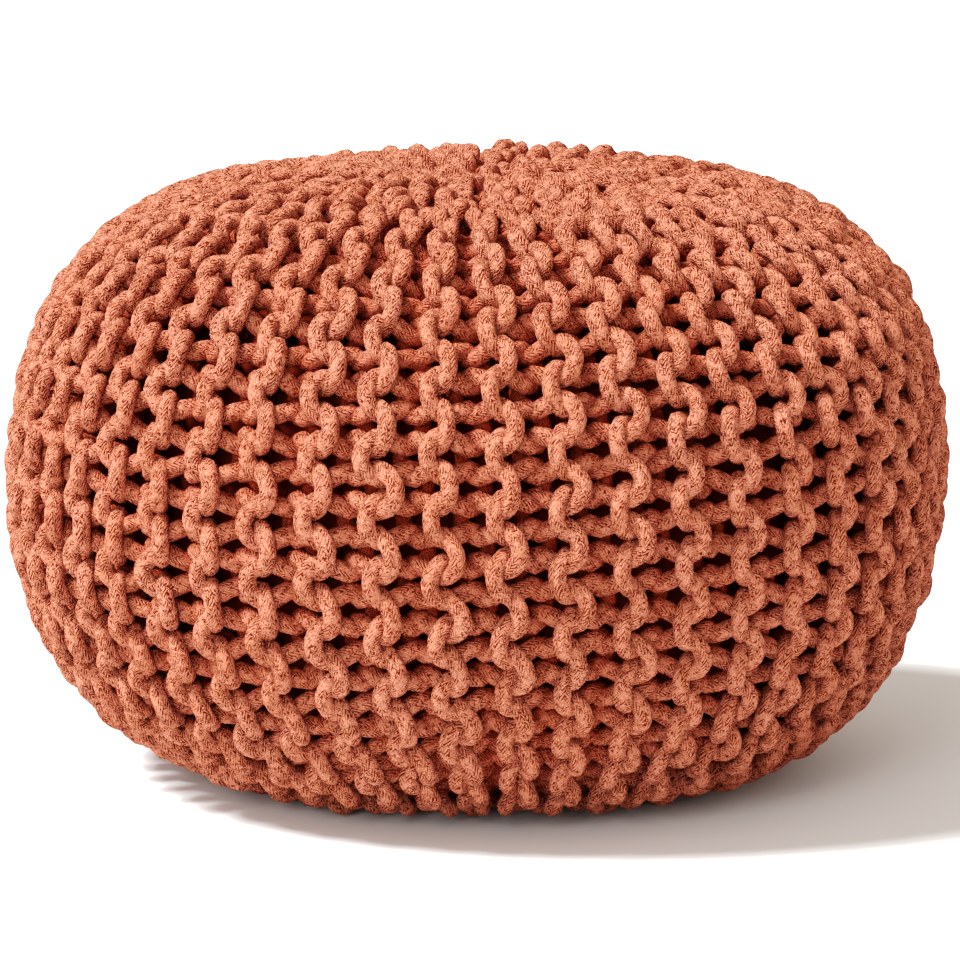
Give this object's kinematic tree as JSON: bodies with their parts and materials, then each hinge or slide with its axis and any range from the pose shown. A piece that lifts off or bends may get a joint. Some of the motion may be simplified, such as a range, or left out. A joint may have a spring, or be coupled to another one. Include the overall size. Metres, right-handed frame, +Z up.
{
  "type": "knitted pouf",
  "caption": "Round floor pouf with a cover knitted from thick braided cotton cord, drawn shut over a filled inner bag.",
  "frame": {"origin": "middle of the base, on the surface that the pouf rests on", "axes": "+Z up through the drawn centre of the crown; -Y towards the side that faced the camera; +X to the camera's right"},
  "size_m": [0.5016, 0.4984, 0.3262],
  "materials": {
    "braided_cord": "matte heathered cotton cord in terracotta, with darker red flecks and light fuzz",
    "bag_cloth": "plain closely woven cotton in a deeper orange red"
  },
  "bodies": {
    "root": {"knitted_cover": "braided_cord", "inner_bag": "bag_cloth"}
  },
  "joints": []
}
